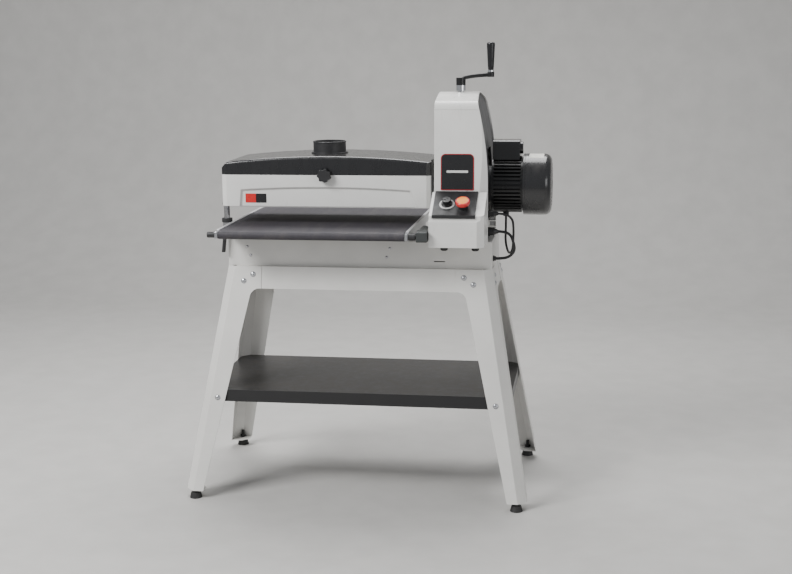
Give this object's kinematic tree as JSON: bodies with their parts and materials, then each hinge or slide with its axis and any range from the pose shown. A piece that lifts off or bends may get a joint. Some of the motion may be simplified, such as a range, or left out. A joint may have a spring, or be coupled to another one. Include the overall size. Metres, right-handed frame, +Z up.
{
  "type": "open-ended drum sander",
  "caption": "Open-ended conveyor drum sander on a splayed sheet-metal stand, with a crank-raised head, hinged dust cover, side motor and control console.",
  "frame": {"origin": "on the floor under the middle of the machine's own box", "axes": "+Z up, +X along the drum towards the motor, work feeds along +Y from the operator's side"},
  "size_m": [1.1058, 0.5954, 1.379],
  "materials": {
    "stand_paint": "fine powder coat, off white",
    "shelf_paint": "satin black powder coat",
    "head_paint": "smooth gloss enamel, white",
    "dark_paint": "satin dark enamel",
    "panel_paint": "satin dark grey",
    "zinc": "zinc plated",
    "bright_steel": "ground steel",
    "cast_iron": "machined and painted casting",
    "drum_aluminium": "turned aluminium",
    "bed_steel": "painted steel bed",
    "black_plastic": "fine textured moulding",
    "gloss_black_plastic": "smooth moulding",
    "red_plastic": "smooth red moulding",
    "belt_abrasive": "dark abrasive cloth belt",
    "wrap_abrasive": "reddish abrasive cloth",
    "rubber": "matte rubber",
    "roller_rubber": "roller covering",
    "chrome": "polished plating",
    "bronze": "bronze nut",
    "cord": "black cord jacket"
  },
  "bodies": {
    "stand": {"leg_front_left": "stand_paint", "leg_front_right": "stand_paint", "leg_rear_left": "stand_paint", "leg_rear_right": "stand_paint", "long_aprons": "stand_paint", "short_aprons": "stand_paint", "lower_shelf": "shelf_paint", "stand_bolts": "zinc", "levelling_feet": "rubber", "base_box": "stand_paint", "base_screws": "zinc", "guide_rods": "bright_steel", "column_top_plate": "dark_paint", "column_front_cover": "head_paint", "column_rear_cover": "head_paint", "column_top_cap": "head_paint", "column_left_panel": "head_paint", "column_right_panel": "panel_paint", "console_box": "head_paint", "control_panel": "black_plastic", "cord_glands": "black_plastic", "supply_lead": "cord", "motor_lead": "cord", "conveyor_bed": "bed_steel", "conveyor_belt": "belt_abrasive", "roller_bearing_blocks": "black_plastic", "gearmotor": "dark_paint", "adjuster_post": "bright_steel"},
    "crank": {"lead_screw": "bright_steel", "crank_fittings": "chrome", "crank_arm": "dark_paint"},
    "crank_handle": {"crank_grip": "gloss_black_plastic"},
    "head": {"carriage": "cast_iron", "lift_nut": "bronze", "head_front_cover": "head_paint", "head_rear_cover": "head_paint", "head_left_end": "head_paint", "head_right_end": "head_paint", "motor_housing": "dark_paint", "fan_cover": "dark_paint", "capacitor_box": "black_plastic", "drum_bearings": "bright_steel", "gap_seal": "black_plastic", "cover_hinge_pins": "bright_steel"},
    "drum": {"drum_shaft": "bright_steel", "drum_shell": "drum_aluminium", "abrasive_wrap": "wrap_abrasive"},
    "lid": {"dust_cover": "dark_paint", "dust_port": "black_plastic"},
    "lid_latch": {"cover_knob": "black_plastic"},
    "infeed_slides": {"infeed_carrier": "black_plastic"},
    "outfeed_slides": {"outfeed_carrier": "black_plastic"},
    "infeed_pressure": {"infeed_roller": "roller_rubber"},
    "outfeed_pressure": {"outfeed_roller": "roller_rubber"},
    "feed_drive": {"drive_roller": "bright_steel"},
    "feed_idler": {"driven_roller": "bright_steel"},
    "speed_control": {"speed_knob": "gloss_black_plastic"},
    "stop_control": {"stop_button": "red_plastic"},
    "table_lock": {"lock_lever": "black_plastic"},
    "table_adjuster": {"adjuster_dial": "black_plastic"}
  },
  "joints": [
    {"name": "crank_turn", "type": "hinge", "parent": "stand", "child": "crank", "pos_m": [0.2744, 0, 1.2], "axis": [0, 0, 1], "range_deg": [-11702, 10915]},
    {"name": "handle_spin", "type": "hinge", "parent": "crank", "child": "crank_handle", "pos_m": [0.3654, 0, 1.34], "axis": [0, 0, 1], "continuous": true},
    {"name": "head_lift", "type": "slide", "parent": "stand", "child": "head", "axis": [0, 0, 1], "range_m": [-0.0485, 0.052], "deforming": ["motor_lead"]},
    {"name": "drum_spin", "type": "hinge", "parent": "head", "child": "drum", "pos_m": [-0.0266, 0, 0.95], "axis": [1, 0, 0], "continuous": true},
    {"name": "lid_hinge", "type": "hinge", "parent": "head", "child": "lid", "pos_m": [-0.1261, 0.136, 0.987], "axis": [-1, 0, 0], "range_deg": [0, 100]},
    {"name": "latch_turn", "type": "hinge", "parent": "lid", "child": "lid_latch", "pos_m": [-0.1261, -0.131, 0.987], "axis": [0, -1, 0], "range_deg": [0, 90]},
    {"name": "infeed_lift", "type": "slide", "parent": "head", "child": "infeed_slides", "axis": [0, 0, 1], "range_m": [0, 0.003], "stiffness_N_per_m": 4000, "springref_m": -0.004},
    {"name": "outfeed_lift", "type": "slide", "parent": "head", "child": "outfeed_slides", "axis": [0, 0, 1], "range_m": [0, 0.003], "stiffness_N_per_m": 4000, "springref_m": -0.004},
    {"name": "infeed_roll", "type": "hinge", "parent": "infeed_slides", "child": "infeed_pressure", "pos_m": [-0.0266, -0.088, 0.901], "axis": [1, 0, 0], "continuous": true},
    {"name": "outfeed_roll", "type": "hinge", "parent": "outfeed_slides", "child": "outfeed_pressure", "pos_m": [-0.0266, 0.088, 0.901], "axis": [1, 0, 0], "continuous": true},
    {"name": "feed_drive_roll", "type": "hinge", "parent": "stand", "child": "feed_drive", "pos_m": [-0.0266, -0.2795, 0.823], "axis": [1, 0, 0], "continuous": true},
    {"name": "feed_idler_roll", "type": "hinge", "parent": "stand", "child": "feed_idler", "pos_m": [-0.0266, 0.2795, 0.823], "axis": [1, 0, 0], "continuous": true},
    {"name": "speed_turn", "type": "hinge", "parent": "stand", "child": "speed_control", "pos_m": [0.2564, -0.218, 0.91099], "axis": [0, 0.5229, -0.8524], "range_deg": [0, 270]},
    {"name": "stop_press", "type": "slide", "parent": "stand", "child": "stop_control", "axis": [0, 0.5229, -0.8524], "range_m": [0, 0.004], "stiffness_N_per_m": 600, "springref_m": -0.003},
    {"name": "table_lock_swing", "type": "hinge", "parent": "stand", "child": "table_lock", "pos_m": [-0.4376, -0.15, 0.816], "axis": [1, 0, 0], "range_deg": [-45, 45]},
    {"name": "table_adjuster_turn", "type": "hinge", "parent": "stand", "child": "table_adjuster", "pos_m": [-0.4736, 0, 0.8295], "axis": [0, 0, 1], "continuous": true}
  ],
  "couplings": [
    {"joint": "crank_turn", "follows": "head_lift", "rad_per_m": -3927},
    {"joint": "feed_idler_roll", "follows": "feed_drive_roll", "ratio": 1}
  ]
}
